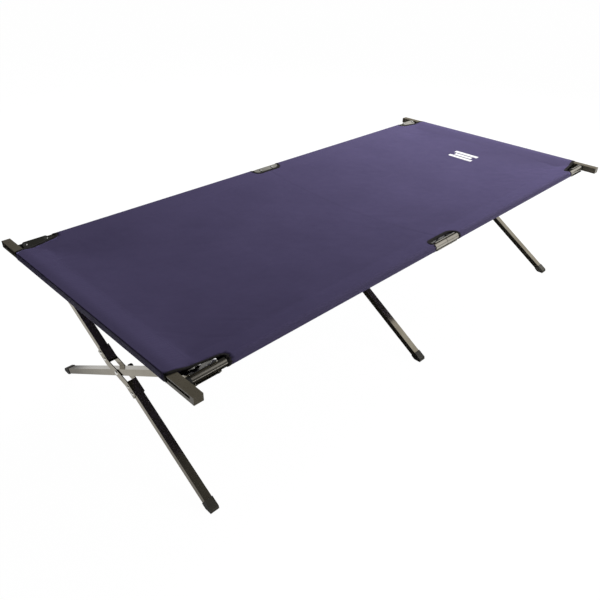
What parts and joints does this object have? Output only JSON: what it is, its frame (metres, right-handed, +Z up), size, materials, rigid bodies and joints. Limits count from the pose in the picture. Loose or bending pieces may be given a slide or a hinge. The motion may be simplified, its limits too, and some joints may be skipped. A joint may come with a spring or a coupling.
{
  "type": "folding camp bed",
  "caption": "Folding camp bed: a taut fabric bed sleeved over two side rails and two end bars, on crossed folding legs.",
  "frame": {"origin": "on the floor under the middle of the bed", "axes": "+X along the bed towards the end with the printed mark, +Y across it towards the far rail, +Z up"},
  "size_m": [2.0914, 1.004, 0.5151],
  "materials": {
    "rail_tube": "semi-gloss dark brown",
    "plate_steel": "zinc plated",
    "bright_steel": "bright zinc plated",
    "leg_steel": "glossy champagne grey",
    "black_plastic": "matte moulded",
    "foot_rubber": "matte moulded",
    "bar_paint": "satin taupe grey",
    "fabric": "coated woven polyester with a soft sheen",
    "binding": "woven tape",
    "print": "screen print"
  },
  "bodies": {
    "near_frame": {"rail_near_left": "rail_tube", "rail_near_right": "rail_tube", "rail_plug_near_left": "black_plastic", "rail_plug_near_right": "black_plastic", "hinge_plate_upper_near": "plate_steel", "hinge_plate_lower_near": "plate_steel", "clevis_upper_near_left": "plate_steel", "clevis_upper_near_right": "plate_steel", "clevis_lower_near_left": "plate_steel", "clevis_lower_near_right": "plate_steel", "rail_rivets_near": "bright_steel", "leg_pins_near": "bright_steel", "leg_washers_near": "black_plastic", "inner_leg_left": "leg_steel", "inner_leg_middle": "leg_steel", "inner_leg_right": "leg_steel", "foot_far_left": "foot_rubber", "foot_far_middle": "foot_rubber", "foot_far_right": "foot_rubber", "fabric_bed": "fabric", "binding_corners": "binding", "binding_middle": "binding", "printed_mark": "print"},
    "far_frame": {"rail_far_left": "rail_tube", "rail_far_right": "rail_tube", "rail_plug_far_left": "black_plastic", "rail_plug_far_right": "black_plastic", "hinge_plate_upper_far": "plate_steel", "hinge_plate_lower_far": "plate_steel", "clevis_upper_far_left": "plate_steel", "clevis_upper_far_right": "plate_steel", "clevis_lower_far_left": "plate_steel", "clevis_lower_far_right": "plate_steel", "rail_rivets_far": "bright_steel", "leg_pins_far": "bright_steel", "leg_washers_far": "black_plastic", "outer_leg_upper_left": "leg_steel", "outer_leg_upper_middle": "leg_steel", "outer_leg_upper_right": "leg_steel", "outer_leg_lower_left": "leg_steel", "outer_leg_lower_middle": "leg_steel", "outer_leg_lower_right": "leg_steel", "cross_bracket_left": "leg_steel", "cross_bracket_middle": "leg_steel", "cross_bracket_right": "leg_steel", "foot_near_left": "foot_rubber", "foot_near_middle": "foot_rubber", "foot_near_right": "foot_rubber", "bracket_rivets": "bright_steel", "pivot_bolts": "bright_steel", "pivot_knobs": "black_plastic"},
    "end_bar_left": {"end_bar_left": "bar_paint", "bar_caps_left": "bar_paint", "bar_pins_left": "bright_steel"},
    "end_bar_right": {"end_bar_right": "bar_paint", "bar_caps_right": "bar_paint", "bar_pins_right": "bright_steel"}
  },
  "joints": [
    {"name": "scissor_fold", "type": "hinge", "parent": "near_frame", "child": "far_frame", "pos_m": [0, 0, 0.24378], "axis": [1, 0, 0], "range_deg": [0, 112], "deforming": ["fabric_bed", "binding_corners", "binding_middle", "printed_mark"]},
    {"name": "left_bar_swing", "type": "hinge", "parent": "near_frame", "child": "end_bar_left", "pos_m": [0, -0.438, 0.498], "axis": [1, 0, 0], "range_deg": [-26.3, 0]},
    {"name": "right_bar_swing", "type": "hinge", "parent": "near_frame", "child": "end_bar_right", "pos_m": [0, -0.438, 0.498], "axis": [1, 0, 0], "range_deg": [-26.3, 0]}
  ],
  "couplings": [
    {"joint": "left_bar_swing", "follows": "scissor_fold", "ratio": -0.234},
    {"joint": "right_bar_swing", "follows": "scissor_fold", "ratio": -0.234}
  ]
}
